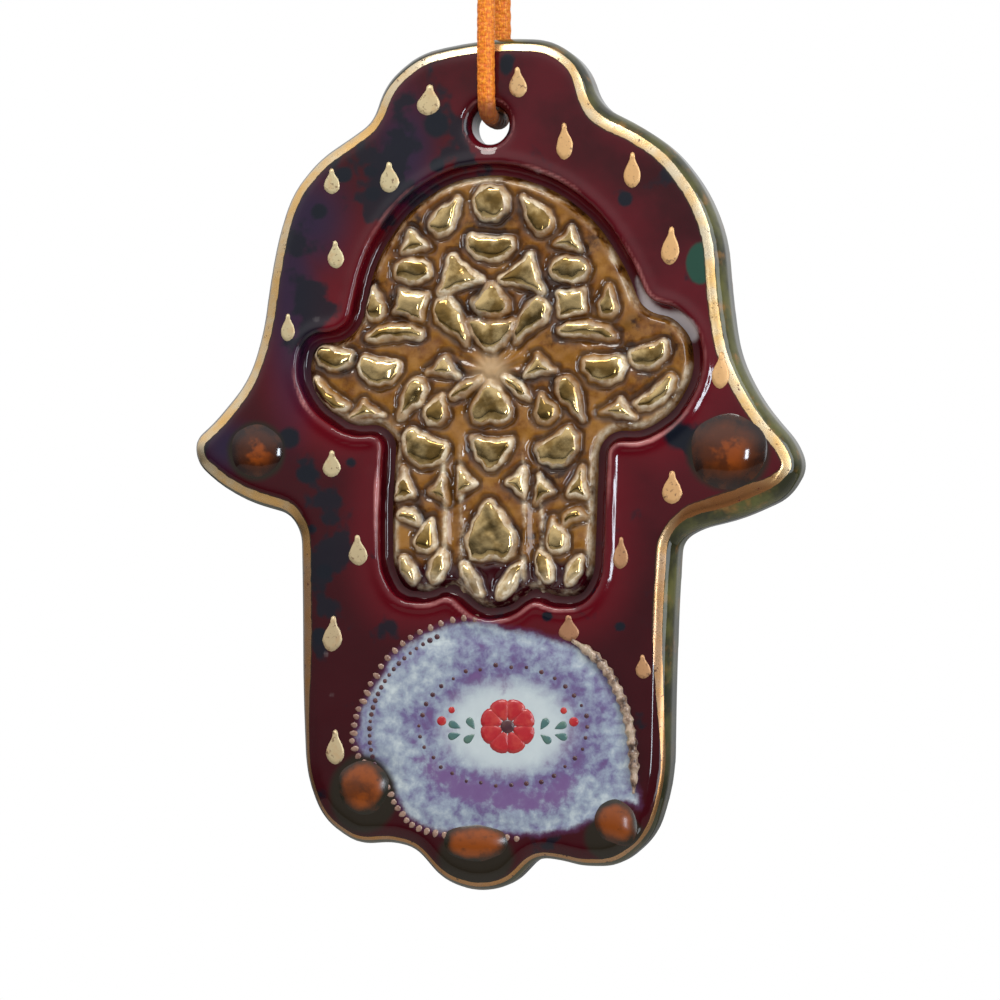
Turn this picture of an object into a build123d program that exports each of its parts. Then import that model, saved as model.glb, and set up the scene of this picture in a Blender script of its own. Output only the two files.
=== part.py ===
from build123d import *
import math
import os

# A glazed ceramic hamsa plaque, fingers down, that hangs from a knotted satin cord.
# Millimetres. The origin is the hang point, at the top inside of the cord's loop.
# X runs to the viewer's right, Y runs away from the viewer and Z runs up.

# Plaque
plaque_height = 100.0
plaque_width = 72.0
plaque_thickness = 8.0
front_edge_radius = 2.2
back_edge_bevel = 1.2

# Hanging hole
hole_from_top = 10.1
hole_radius = 2.3
hole_lip_radius = 1.2

# Recess that frames the relief hand, with its soft raised lip
recess_depth = 2.0
lip_width = 1.1
lip_rise = 0.3
lip_bevel = 0.25

# Relief hand: a moulded clay hand with its scrollwork
relief_gap = 1.2
relief_thickness = 1.0
relief_edge_bevel = 0.35
groove_width = 0.9
groove_depth = 0.35
scroll_rise = 1.3
scroll_draft_angle = 10.0
scroll_spread_share = 1.03

# Glaze pools: melted glass in shallow wells
well_depth = 0.5
well_clearance = 0.05
pool_rise = 0.6
dome_rise = 1.0
medallion_rise = 0.35
medallion_bevel = 0.25
ridge_width = 1.1
ridge_rise = 0.45
ridge_bevel = 0.3
ridge_gap = 0.2

# Cord and knot
cord_diameter = 2.2
cord_sides = 10
cord_clearance = 0.3
strand_gap = 0.5
neck_length = 5.0
spread_length = 10.0
straight_above_hole = 18.0
knot_radius = 3.4
knot_height = 5.4
knot_turns = 3
turn_bevel_share = 0.28     # of a turn's height
tail_length = 7.0
tail_lean = 1.6

# Outlines as the corners of a loop that is then rounded, clockwise from the top, as shares of the
# width and the height. The plaque's x is from the hole's axis and its y from its top edge.
plaque_shares = [
    (0.018, 0.002), (0.102, -0.001), (0.156, -0.030), (0.179, -0.080), (0.244, -0.103), (0.303, -0.132),
    (0.354, -0.180), (0.384, -0.235), (0.392, -0.308), (0.405, -0.375), (0.444, -0.430), (0.499, -0.476),
    (0.514, -0.505), (0.486, -0.540), (0.408, -0.565), (0.342, -0.576), (0.309, -0.590), (0.303, -0.659),
    (0.298, -0.753), (0.295, -0.870), (0.268, -0.936), (0.211, -0.971), (0.150, -0.971), (0.119, -0.965),
    (0.077, -0.961), (0.031, -0.996), (-0.023, -1.003), (-0.079, -0.990), (-0.125, -0.952),
    (-0.165, -0.945), (-0.221, -0.949), (-0.281, -0.920), (-0.309, -0.868), (-0.315, -0.777),
    (-0.316, -0.659), (-0.318, -0.581), (-0.337, -0.558), (-0.402, -0.545), (-0.453, -0.525),
    (-0.494, -0.499), (-0.500, -0.470), (-0.466, -0.449), (-0.407, -0.399), (-0.382, -0.341),
    (-0.372, -0.285), (-0.357, -0.228), (-0.333, -0.176), (-0.286, -0.136), (-0.234, -0.112),
    (-0.198, -0.094), (-0.176, -0.048), (-0.120, -0.014), (-0.053, -0.004),
]

# The recess as shares of the plaque: its centre line, its top, its width and its height. Its
# corners are then shares of that, with x from its centre line and y from its top.
recess_x_share, recess_top_share = 0.0035, -0.150
recess_width_share, recess_height_share = 0.6625, 0.530
recess_shares = [
    (0.032, 0.009), (0.175, -0.035), (0.284, -0.115), (0.357, -0.223), (0.392, -0.305), (0.459, -0.316),
    (0.519, -0.372), (0.529, -0.467), (0.469, -0.566), (0.377, -0.615), (0.292, -0.608), (0.284, -0.785),
    (0.279, -0.914), (0.234, -0.976), (0.155, -0.978), (0.107, -0.958), (0.055, -0.998), (-0.030, -1.007),
    (-0.105, -0.947), (-0.155, -0.969), (-0.237, -0.962), (-0.277, -0.896), (-0.279, -0.741),
    (-0.267, -0.591), (-0.354, -0.600), (-0.451, -0.544), (-0.494, -0.458), (-0.469, -0.367),
    (-0.362, -0.363), (-0.319, -0.192), (-0.229, -0.075), (-0.107, -0.004),
]

# The two grooves that part the fingers: x from the centre line, then the top and foot.
groove_shares = [(-0.095, -0.52, -0.945), (0.108, -0.52, -0.945)]

# Each scroll is a form with its corners in a unit box, where the third figure is the bow of the
# stretch that follows, which is cut into a few straight pieces.
bow_pieces = 3
scroll_forms = {
    "ball": [(0, 0.5, 0.2), (0.5, 0, 0.2), (0, -0.5, 0.2), (-0.5, 0, 0.2)],
    "tear": [(0, 0.5, -0.03), (0.5, -0.12, 0.24), (0, -0.5, 0.24), (-0.5, -0.12, -0.03)],
    "leaf": [(0, 0.5, 0.14), (0.5, -0.05, 0.14), (0, -0.5, 0.14), (-0.5, -0.05, 0.14)],
    "moon": [(-0.5, 0.4, -0.06), (0.5, 0.4, 0.22), (0, -0.5, 0.22)],
    "shield": [(-0.5, 0.45, -0.1), (0.5, 0.45, 0.1), (0, -0.5, 0.1)],
    "triangle": [(0, 0.5, -0.05), (0.5, -0.45, -0.05), (-0.5, -0.45, -0.05)],
    "spur": [(0, 0.5, -0.04), (0.5, -0.45, -0.06), (-0.5, -0.45, -0.04)],
    "star": [(-0.5, 0.5, -0.07), (0.5, 0.5, -0.07), (0.5, -0.5, -0.07), (-0.5, -0.4, -0.07)],
    "crescent": [(-0.5, -0.4, 0.2), (0.05, 0.5, 0.2), (0.5, -0.4, -0.12)],
    "comma": [(0.3, 0.5, 0.16), (0.5, -0.2, 0.22), (0, -0.5, 0.24), (-0.5, -0.15, -0.06)],
    "spade": [(0, 0.5, 0.04), (0.5, -0.2, 0.32), (0, -0.42, 0.32), (-0.5, -0.2, 0.04)],
}
# Scrolls on the centre line: form, y, width and height.
middle_scroll_shares = [
    ("ball", -0.082, 0.080, 0.080),
    ("moon", -0.180, 0.115, 0.070),
    ("tear", -0.294, 0.090, 0.082),
    ("shield", -0.373, 0.120, 0.084),
    ("spade", -0.524, 0.105, 0.106),
    ("shield", -0.636, 0.102, 0.086),
    ("spade", -0.806, 0.124, 0.150),
]

# Scrolls of the left half, which the right half mirrors: form, x, y, width, height and turn.
# Both sizes are shares of the recess's width.
side_scroll_shares = [
    ("tear", -0.110, -0.106, 0.058, 0.112, -33),
    ("triangle", -0.196, -0.162, 0.082, 0.062, 8),
    ("triangle", -0.089, -0.232, 0.124, 0.098, 20),
    ("ball", -0.197, -0.231, 0.092, 0.060, 0),
    ("tear", -0.292, -0.300, 0.046, 0.084, 4),
    ("star", -0.202, -0.306, 0.074, 0.068, -8),
    ("comma", -0.100, -0.352, -0.062, 0.132, -158),
    ("crescent", -0.243, -0.368, 0.140, 0.046, 2),
    ("moon", -0.282, -0.452, 0.100, 0.080, -8),
    ("moon", -0.394, -0.424, 0.088, 0.062, -12),
    ("crescent", -0.410, -0.510, 0.112, 0.046, 140),
    ("triangle", -0.318, -0.537, 0.096, 0.050, 6),
    ("triangle", -0.118, -0.440, 0.084, 0.056, -6),
    ("leaf", -0.064, -0.492, 0.026, 0.090, -54),
    ("tear", -0.203, -0.520, 0.052, 0.120, 152),
    ("tear", -0.134, -0.536, 0.056, 0.072, -18),
    ("moon", -0.170, -0.627, 0.106, 0.090, -27),
    ("spur", -0.220, -0.700, 0.054, 0.086, 8),
    ("triangle", -0.134, -0.720, 0.080, 0.050, 95),
    ("crescent", -0.206, -0.776, 0.056, 0.036, -20),
    ("tear", -0.160, -0.815, 0.050, 0.086, -15),
    ("leaf", -0.208, -0.896, 0.036, 0.080, 30),
    ("leaf", -0.133, -0.888, 0.038, 0.080, -20),
    ("triangle", -0.062, -0.702, 0.082, 0.052, -90),
    ("leaf", -0.048, -0.917, 0.034, 0.104, 32),
]

# The recess's width as a share of its height, which turns a scroll's height into a share of that
scroll_tall_share = 0.90

# Melted glass pools: x from the hole's axis, y from the plaque's top, width and height, and the
# corners of each form in a unit box, which are then rounded
pool_shares = {
    "glaze_drop_left_thumb": ("round", -0.387, -0.483, 0.092, 0.066),
    "glaze_drop_left_finger": ("round", -0.207, -0.880, 0.089, 0.068),
    "glaze_drop_middle_finger": ("round", -0.021, -0.944, 0.112, 0.045),
    "glaze_drop_right_finger": ("trapeze", 0.209, -0.917, 0.074, 0.054),
    "glaze_drop_right_thumb": ("round", 0.394, -0.487, 0.128, 0.092),
}
pool_form_shares = {
    "round": [(0, 0.56), (0.49, 0.28), (0.49, -0.28), (0, -0.56), (-0.49, -0.28), (-0.49, 0.28)],
    "trapeze": [(0, 0.54), (0.42, 0.30), (0.52, -0.30), (0.30, -0.55), (-0.30, -0.42), (-0.54, -0.02),
                (-0.30, 0.42)],
}
# The width of a pool's rounded shoulder, as a share of the pool's height
pool_shoulder_share = 0.30
domed_pool = "glaze_drop_right_thumb"

# The medallion's place on the plaque and its outline about its own centre
medallion_centre_share = (0.007, -0.817)
medallion_width_share, medallion_height_share = 0.4306, 0.228
medallion_shares = [
    (-0.04, 0.53), (0.31, 0.46), (0.50, 0.20), (0.52, -0.18), (0.34, -0.47),
    (-0.02, -0.53), (-0.33, -0.47), (-0.52, -0.16), (-0.50, 0.22), (-0.33, 0.47),
]
ridge_shares = ((0.10, -0.28), (0.70, 0.60))

# An arc takes this share of the shorter run beside it, on each side of its corner, and a rounded
# edge takes up to this share of the outline's tightest outward arc.
arc_share = 0.45
edge_share = 0.85


# Heights and planes
cord_radius = cord_diameter / 2
throat_bend = hole_lip_radius + cord_clearance + cord_radius
strand_y = plaque_thickness / 2 + cord_clearance + cord_radius
throat_rise = hole_radius - cord_clearance - cord_radius
neck_y = cord_radius + strand_gap / 2
hole_z = -(straight_above_hole + spread_length)
face = Plane(origin=(0, 0, hole_z), x_dir=(1, 0, 0), z_dir=(0, -1, 0))
front_face = face.offset(plaque_thickness / 2)
back_face = face.offset(-plaque_thickness / 2)
recess_floor = front_face.offset(-recess_depth)
relief_ground = recess_floor.offset(relief_thickness)
well_floor = front_face.offset(-well_depth)
front, back = 0, -1


def plaque_place(x_share, y_share):
    """A point on the plaque's face, from shares of the plaque."""
    return (x_share * plaque_width, hole_from_top + y_share * plaque_height)


def recess_place(x_share, y_share):
    """A point on the plaque's face, from shares of the recess."""
    return plaque_place(recess_x_share + x_share * recess_width_share,
                        recess_top_share + y_share * recess_height_share)


def bowed_points(corners):
    """The corners of a closed loop, with each bowed stretch cut into a few straight pieces."""
    points = []
    for (x0, y0, bow), (x1, y1, _) in zip(corners, corners[1:] + corners[:1]):
        for piece in range(bow_pieces):
            along = piece / bow_pieces
            rise = 4 * bow * along * (1 - along)
            points.append((x0 + along * (x1 - x0) - rise * (y1 - y0),
                           y0 + along * (y1 - y0) + rise * (x1 - x0)))
    return points


def corner_arcs(points, grown=0.0):
    """Each corner of a closed loop, with the largest radius that its runs allow, grown outwards."""
    corners = [Vector(*point) for point in points]
    places, radii = [], []
    for before, corner, after in zip(corners[-1:] + corners[:-1], corners, corners[1:] + corners[:1]):
        into, out = corner - before, after - corner
        half_turn = math.radians(into.get_angle(out)) / 2
        bend = 1 if into.cross(out).Z < 0 else -1
        outward = (into.normalized() - out.normalized()).normalized() * bend
        places.append(corner + outward * (grown / math.cos(half_turn)))
        radii.append((bend, arc_share * min(into.length, out.length) / math.tan(half_turn) + bend * grown))
    return places, radii


def rounded_loop(points, grown=0.0):
    """A closed loop of runs and of the largest tangent arcs that they allow, grown outwards."""
    places, radii = corner_arcs(points, grown)
    return FilletPolyline(*places, radius=[radius for _, radius in radii], close=True)


def edge_within(points, wanted, grown=0.0):
    """A rounded edge's size, limited by the tightest outward arc of the outline that carries it."""
    return min(wanted, edge_share * min(radius for bend, radius in corner_arcs(points, grown)[1] if bend > 0))


def soften(builder, end, inner, width, depth):
    """Rounds the rim of a builder's front or back face in two bevels, which stand in for an arc."""
    half_bevel = math.radians(90 / 4)
    first = math.tan(half_bevel)
    middle = 1 - math.cos(2 * half_bevel)
    slant = math.hypot((first - middle) * width, middle * depth)
    for on_face, on_wall in ((first * width, depth), ((1 - first) * width, slant)):
        rim = builder.faces().sort_by(Axis.Y)[end]
        edges = rim.inner_wires().edges() if inner else rim.outer_wire().edges()
        chamfer(edges, length=on_face, length2=on_wall, reference=rim)


plaque_points = [plaque_place(x, y) for x, y in plaque_shares]
recess_points = [recess_place(x, y) for x, y in recess_shares]


def outline(points, grown=0.0, mode=Mode.ADD):
    """A rounded outline, in a sketch, grown outwards or drawn in evenly."""
    with BuildLine() as loop:
        rounded_loop(points, grown)
    make_face(loop.edges(), mode=mode)


def scroll_outline(form, x, y, width, height, turn):
    """A scroll's outline, in a sketch, from shares of the recess."""
    cosine, sine = math.cos(math.radians(turn)), math.sin(math.radians(turn))
    points = []
    for u, v in bowed_points(scroll_forms[form]):
        across, along = u * width * scroll_spread_share, v * height * scroll_spread_share
        points.append(recess_place(x + across * cosine - along * sine,
                                   y + (across * sine + along * cosine) * scroll_tall_share))
    Polygon(*points, align=None)


def medallion_place(x_share, y_share):
    """A point on the plaque's face, from shares of the medallion."""
    x_centre, y_centre = medallion_centre_share
    return plaque_place(x_centre + x_share * medallion_width_share,
                        y_centre + y_share * medallion_height_share)


def pool_points(form, x, y, width, height):
    """The corners of a glass pool's outline."""
    return [plaque_place(x + u * width, y + v * height) for u, v in pool_form_shares[form]]


medallion_points = [medallion_place(x, y) for x, y in medallion_shares]

# Plaque body
with BuildPart() as plaque_body:
    with BuildSketch(back_face):
        outline(plaque_points)
        Circle(hole_radius, mode=Mode.SUBTRACT)
    extrude(amount=plaque_thickness)
    edge_radius = edge_within(plaque_points, front_edge_radius)
    soften(plaque_body, front, False, edge_radius, edge_radius)
    soften(plaque_body, front, True, hole_lip_radius, hole_lip_radius)
    soften(plaque_body, back, True, hole_lip_radius, hole_lip_radius)
    chamfer(plaque_body.faces().sort_by(Axis.Y)[back].outer_wire().edges(),
            edge_within(plaque_points, back_edge_bevel))
    with BuildSketch(front_face):
        outline(recess_points, grown=lip_width)
    extrude(amount=lip_rise)
    chamfer(plaque_body.faces().sort_by(Axis.Y)[0].edges(), lip_bevel)
    with BuildSketch(front_face.offset(lip_rise)):
        outline(recess_points)
    extrude(amount=-(lip_rise + recess_depth), mode=Mode.SUBTRACT)
    chamfer(plaque_body.faces().sort_by(Axis.Y)[0].inner_wires().edges(), lip_bevel)
    with BuildSketch(well_floor):
        outline(medallion_points, grown=well_clearance)
        for share in pool_shares.values():
            outline(pool_points(*share), grown=well_clearance)
    extrude(amount=well_depth, mode=Mode.SUBTRACT)


# Relief hand: the moulded clay hand in the recess, with its finger grooves
with BuildPart() as relief_hand:
    with BuildSketch(recess_floor):
        outline(recess_points, grown=-relief_gap)
    extrude(amount=relief_thickness)
    chamfer(relief_hand.faces().sort_by(Axis.Y)[0].edges(),
            edge_within(recess_points, relief_edge_bevel, grown=-relief_gap))
    with BuildSketch(relief_ground):
        for x_share, top_share, foot_share in groove_shares:
            top = recess_place(x_share, top_share)
            foot = recess_place(x_share, foot_share)
            with Locations(((top[0] + foot[0]) / 2, (top[1] + foot[1]) / 2)):
                SlotOverall(top[1] - foot[1], groove_width, rotation=90)
    extrude(amount=-groove_depth, mode=Mode.SUBTRACT)

# Relief scrollwork: the raised gold scrolls, each with the draft that lets it leave its mould
scrolls = [(form, 0, y, width, height, 0) for form, y, width, height in middle_scroll_shares]
for form, x, y, width, height, turn in side_scroll_shares:
    scrolls += [(form, x, y, width, height, turn), (form, -x, y, -width, height, -turn)]
scroll_solids = []
for scroll in scrolls:
    with BuildPart() as scroll_form:
        with BuildSketch(relief_ground):
            scroll_outline(*scroll)
        extrude(amount=scroll_rise)
        draft(scroll_form.faces().filter_by(Axis.Y, reverse=True), relief_ground, scroll_draft_angle)
    scroll_solids.append(scroll_form.part.solid())
with BuildPart() as relief_scrollwork:
    add(scroll_solids)

# Melted glass pools: flat-bottomed domes that sit in the plaque's wells
glass_pools = {}
for name, share in pool_shares.items():
    rise = dome_rise if name == domed_pool else pool_rise
    points = pool_points(*share)
    with BuildPart() as glass_pool:
        with BuildSketch(well_floor):
            outline(points)
        extrude(amount=well_depth + rise)
        soften(glass_pool, front, False, edge_within(points, pool_shoulder_share * share[-1] * plaque_height),
               rise)
    glass_pools[name] = glass_pool.part

# Medallion: a wide, low pool that the glass pools overlap at its foot
with BuildPart() as medallion_pool:
    with BuildSketch(well_floor):
        outline(medallion_points)
    extrude(amount=well_depth + medallion_rise)
    chamfer(medallion_pool.faces().sort_by(Axis.Y)[0].edges(), medallion_bevel)
    with BuildSketch(well_floor):
        for share in pool_shares.values():
            outline(pool_points(*share), grown=2 * well_clearance)
    extrude(amount=well_depth + medallion_rise, mode=Mode.SUBTRACT)

# Medallion ridge: the trailed ridge of slip round the medallion's right side
with BuildPart() as medallion_ridge:
    with BuildSketch(front_face):
        outline(medallion_points, grown=ridge_gap + ridge_width)
        outline(medallion_points, grown=ridge_gap, mode=Mode.SUBTRACT)
        low, high = [medallion_place(x, y) for x, y in ridge_shares]
        with Locations(((low[0] + high[0]) / 2, (low[1] + high[1]) / 2)):
            Rectangle(high[0] - low[0], high[1] - low[1], mode=Mode.INTERSECT)
    extrude(amount=ridge_rise)
    chamfer(medallion_ridge.faces().sort_by(Axis.Y)[0].edges(), ridge_bevel)

# Hanging cord: from the knot down the front, through the hole and up the back
corner_reach = throat_bend * math.tan(math.radians(90 / 4))
bend_y = plaque_thickness / 2 - hole_lip_radius
bend_z = hole_z + hole_radius + hole_lip_radius
front_route = [
    (neck_y, neck_length),
    (neck_y, 0),
    (strand_y, -spread_length),
    (strand_y, bend_z - corner_reach),
    (bend_y + corner_reach, bend_z - throat_bend),
]
route = [Vector(0, -y, z) for y, z in front_route] + [Vector(0, y, z) for y, z in reversed(front_route)]
radii = []
for before, corner, after in zip(route, route[1:], route[2:]):
    half_turn = math.radians((corner - before).get_angle(after - corner)) / 2
    radii.append(arc_share * min((corner - before).length, (after - corner).length) / math.tan(half_turn))
print("cord radii", [round(radius, 2) for radius in radii])
with BuildPart() as hanging_cord:
    with BuildLine() as cord_line:
        FilletPolyline(*route, radius=radii)
    with BuildSketch(Plane(origin=route[0], z_dir=route[1] - route[0])):
        RegularPolygon(cord_radius, cord_sides)
    sweep()
cord_length = cord_line.wires()[0].length
cord_section = cord_sides / 2 * cord_radius**2 * math.sin(2 * math.pi / cord_sides)
print("cord length", cord_length, "volume", hanging_cord.part.volume,
      "section by length", cord_section * cord_length)

# Cord knot: the wrapped turns above the loop, with the cord's two cut ends
knot_core = neck_y + cord_radius + strand_gap / 2
turn_height = knot_height / knot_turns
with BuildPart() as cord_knot:
    with BuildSketch(Plane.XZ):
        with BuildLine():
            Line((0, neck_length), (knot_core, neck_length))
            for turn in range(knot_turns):
                foot = neck_length + turn * turn_height
                Polyline((knot_core, foot), (knot_radius, foot + turn_bevel_share * turn_height),
                         (knot_radius, foot + (1 - turn_bevel_share) * turn_height),
                         (knot_core, foot + turn_height))
            Line((knot_core, neck_length + knot_height), (0, neck_length + knot_height))
            Line((0, neck_length + knot_height), (0, neck_length))
        make_face()
    revolve(axis=Axis.Z)
    for side in (-1, 1):
        tail = [
            Vector(0, side * neck_y, neck_length + knot_height - cord_radius),
            Vector(0, side * neck_y, neck_length + knot_height + cord_radius),
            Vector(0, side * (neck_y + tail_lean), neck_length + knot_height + tail_length),
        ]
        with BuildLine():
            FilletPolyline(*tail, radius=cord_diameter)
        with BuildSketch(Plane(origin=tail[0], z_dir=tail[1] - tail[0])):
            RegularPolygon(cord_radius, cord_sides)
        sweep()

os.makedirs("parts", exist_ok=True)
plaque_body.part.label = "plaque_body"
relief_hand.part.label = "relief_hand"
relief_scrollwork.part.label = "relief_scrollwork"
medallion_pool.part.label = "medallion_pool"
medallion_ridge.part.label = "medallion_ridge"
hanging_cord.part.label = "hanging_cord"
cord_knot.part.label = "cord_knot"
export_step(plaque_body.part, "parts/plaque_body.step")
export_step(relief_hand.part, "parts/relief_hand.step")
export_step(relief_scrollwork.part, "parts/relief_scrollwork.step")
export_step(medallion_pool.part, "parts/medallion_pool.step")
export_step(medallion_ridge.part, "parts/medallion_ridge.step")
export_step(hanging_cord.part, "parts/hanging_cord.step")
export_step(cord_knot.part, "parts/cord_knot.step")
for name, piece in glass_pools.items():
    piece.label = name
    export_step(piece, f"parts/{name}.step")
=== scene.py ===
import math
import random

import bmesh
import bpy
import numpy as np
from mathutils import Matrix, Vector
from mathutils.bvhtree import BVHTree


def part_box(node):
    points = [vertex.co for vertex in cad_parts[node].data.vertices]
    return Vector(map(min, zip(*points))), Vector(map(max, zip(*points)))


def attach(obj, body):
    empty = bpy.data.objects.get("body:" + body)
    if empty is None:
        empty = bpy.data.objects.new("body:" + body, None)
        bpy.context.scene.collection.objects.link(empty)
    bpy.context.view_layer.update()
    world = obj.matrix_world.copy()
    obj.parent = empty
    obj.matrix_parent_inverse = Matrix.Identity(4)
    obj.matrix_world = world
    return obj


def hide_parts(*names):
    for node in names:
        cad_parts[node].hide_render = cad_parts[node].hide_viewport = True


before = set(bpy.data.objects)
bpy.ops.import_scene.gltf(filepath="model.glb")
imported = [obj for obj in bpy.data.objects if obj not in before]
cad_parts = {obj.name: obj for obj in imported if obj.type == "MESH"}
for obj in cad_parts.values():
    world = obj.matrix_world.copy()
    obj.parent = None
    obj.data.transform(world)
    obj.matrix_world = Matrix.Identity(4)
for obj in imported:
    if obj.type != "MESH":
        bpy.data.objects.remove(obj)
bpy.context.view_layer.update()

# A glazed ceramic hamsa plaque on a satin cord: the looks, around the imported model.
# X runs to the viewer's right, Y away from the viewer and Z up. The origin is the hang point.

mm = 0.001
random.seed(7)

# The photograph's frame: pixels become places on the plaque's face.
picture = {
    "pixel": 0.11714 * mm,      # one pixel at the plaque, along Z
    "squeeze": 0.985,           # the camera's turn narrows the plaque by this
    "hole": (488, 123),
    "centre": (500, 500),
}
plaque = {
    "holeZ": -28 * mm,
    "faceY": -4 * mm,
    "floorY": -2 * mm,          # the recess's floor
    "groundY": -3 * mm,         # the relief hand's ground
    "wellY": -3.5 * mm,
    "bareY": 0.5 * mm,          # behind this, nothing of the face's glaze is painted
    "voxel": 0.36 * mm,
    "smoothing": 5,
}


def facePoint(px, py):
    # a pixel of the photograph as (x, z) on the plaque's face
    holeX, holeY = picture["hole"]
    return ((px - holeX) * picture["pixel"] / picture["squeeze"],
            plaque["holeZ"] - (py - holeY) * picture["pixel"])


def rideAs(obj, body, slot, *nodes):
    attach(obj, body)
    if nodes:
        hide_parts(*nodes)


# Meshes

def makeObject(name, bm, material, smooth=True):
    mesh = bpy.data.meshes.new(name)
    bm.to_mesh(mesh)
    bm.free()
    obj = bpy.data.objects.new(name, mesh)
    bpy.context.scene.collection.objects.link(obj)
    if smooth:
        mesh.shade_smooth()
    mesh.materials.append(material)
    return obj


def nodeMesh(name):
    # a CAD node's mesh as a bmesh, with its loose triangles merged
    bm = bmesh.new()
    bm.from_mesh(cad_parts[name].data)
    bmesh.ops.remove_doubles(bm, verts=bm.verts, dist=0.001 * mm)
    return bm


def flatPoints(bm):
    return np.array([(v.co.x, v.co.z) for v in bm.verts])


def applyModifiers(obj):
    # gives the object a new mesh with its modifiers applied
    depsgraph = bpy.context.evaluated_depsgraph_get()
    mesh = bpy.data.meshes.new_from_object(obj.evaluated_get(depsgraph))
    old = obj.data
    obj.modifiers.clear()
    obj.data = mesh
    bpy.data.meshes.remove(old)
    mesh.name = obj.name
    mesh.shade_smooth()


def pointsOf(obj):
    co = np.empty(len(obj.data.vertices) * 3)
    obj.data.vertices.foreach_get("co", co)
    return co.reshape(-1, 3)


def setPoints(obj, co):
    obj.data.vertices.foreach_set("co", co.ravel())
    obj.data.update()


def setAttribute(obj, name, values):
    layer = obj.data.attributes.new(name, "FLOAT", "POINT")
    layer.data.foreach_set("value", np.asarray(values, dtype=np.float32))


def sectionLoops(bm, y):
    # the closed loops, as (x, z), where a plane at y cuts a mesh
    cutter = bm.copy()
    cut = bmesh.ops.bisect_plane(cutter, geom=cutter.verts[:] + cutter.edges[:] + cutter.faces[:],
                                 plane_co=(0, y, 0), plane_no=(0, 1, 0), clear_inner=True, clear_outer=True)
    edges = [e for e in cut["geom_cut"] if isinstance(e, bmesh.types.BMEdge)]
    beside = {}
    for edge in edges:
        a, b = edge.verts
        beside.setdefault(a, []).append(b)
        beside.setdefault(b, []).append(a)
    loops, seen = [], set()
    for start in beside:
        if start in seen:
            continue
        walk, here = [], start
        while here is not None:
            seen.add(here)
            walk.append((here.co.x, here.co.z))
            here = next((v for v in beside[here] if v not in seen), None)
        if len(walk) > 3:
            loops.append(np.array(walk))
    cutter.free()
    return loops


def loopSize(loop):
    return float(np.ptp(loop[:, 0]) * np.ptp(loop[:, 1]))


def nodeLoop(name, y):
    # the largest loop where a plane at y cuts a CAD node
    bm = nodeMesh(name)
    loop = max(sectionLoops(bm, y), key=loopSize)
    bm.free()
    return loop


def roundedLoop(loop):
    # cuts the corners of a loop twice, at a quarter and three quarters of its runs
    for _ in range(2):
        following = np.roll(loop, -1, axis=0)
        pairs = np.stack([0.75 * loop + 0.25 * following, 0.25 * loop + 0.75 * following], axis=1)
        loop = pairs.reshape(-1, 2)
    return loop


def faceLoop(pixels):
    return roundedLoop(np.array([facePoint(*pixel) for pixel in pixels]))


def signedDistance(points, loop):
    # the distance from each (x, z) to a closed loop, positive inside it
    best = np.full(len(points), 1.0)
    inside = np.zeros(len(points), bool)
    for a, b in zip(loop, np.roll(loop, -1, axis=0)):
        run = b - a
        offset = points - a
        share = np.clip(offset @ run / max(run @ run, 1e-15), 0, 1)
        gap = offset - share[:, None] * run
        best = np.minimum(best, np.einsum("ij,ij->i", gap, gap))
        if run[1] != 0:
            crosses = (a[1] > points[:, 1]) != (b[1] > points[:, 1])
            inside ^= crosses & (points[:, 0] < a[0] + (points[:, 1] - a[1]) * run[0] / run[1])
    return np.sqrt(best) * np.where(inside, 1.0, -1.0)


def routeDistance(points, route):
    # the distance from each (x, z) to an open line
    best = np.full(len(points), 1.0)
    for a, b in zip(np.array(route[:-1]), np.array(route[1:])):
        run, offset = b - a, points - a
        share = np.clip(offset @ run / (run @ run), 0, 1)
        best = np.minimum(best, np.hypot(*(offset - share[:, None] * run).T))
    return best


def smoothStep(values, low, high):
    share = np.clip((values - low) / (high - low), 0, 1)
    return share * share * (3 - 2 * share)


def hill(values, width):
    # one where a value is nought, falling to nothing on both sides
    return np.exp(-(values / width) ** 2)


def wobble(points, size, seed):
    # a smooth wavering between -1 and 1 over (x, z), from a few seeded waves
    waves = np.random.default_rng(seed)
    total = np.zeros(len(points))
    for _ in range(5):
        turn = waves.uniform(0, 2 * math.pi)
        pitch = waves.uniform(0.7, 1.6) * 2 * math.pi / size
        total += np.sin(pitch * (points[:, 0] * math.cos(turn) + points[:, 1] * math.sin(turn))
                        + waves.uniform(0, 2 * math.pi))
    return total / 3.2


# Materials

shading = {
    "tree": None,               # the node tree that is being built
    # what the principled shader's sockets are called
    "sockets": {"colour": "Base Color", "roughness": "Roughness", "metallic": "Metallic", "normal": "Normal",
                "ior": "IOR", "specular": "Specular IOR Level", "sheen": "Sheen Weight"},
}


class Value:
    # a node's output, which takes part in sums

    def __init__(self, socket):
        self.socket = socket

    def __add__(self, other):
        return sums("ADD", self, other)

    def __sub__(self, other):
        return sums("SUBTRACT", self, other)

    def __mul__(self, other):
        return sums("MULTIPLY", self, other)


def paint(red, green, blue):
    # a colour read in the usual 0 to 255 steps, as the shader wants it
    return tuple((c / 255 / 12.92 if c <= 10 else ((c / 255 + 0.055) / 1.055) ** 2.4)
                 for c in (red, green, blue)) + (1.0,)


def fill(socket, value):
    # a socket takes a number, a colour or another node's output
    if isinstance(value, Value):
        shading["tree"].links.new(value.socket, socket)
    else:
        socket.default_value = value


def put(kind, sockets=None, output=0, **settings):
    # a new node in the tree, as one of its outputs
    node = shading["tree"].nodes.new(kind)
    for key, value in settings.items():
        setattr(node, key, value)
    for key, value in (sockets or {}).items():
        fill(node.inputs[key], value)
    return Value(node.outputs[output])


def newMaterial(name):
    material = bpy.data.materials.new(name)
    material.use_nodes = True
    shading["tree"] = material.node_tree
    return material


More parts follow.
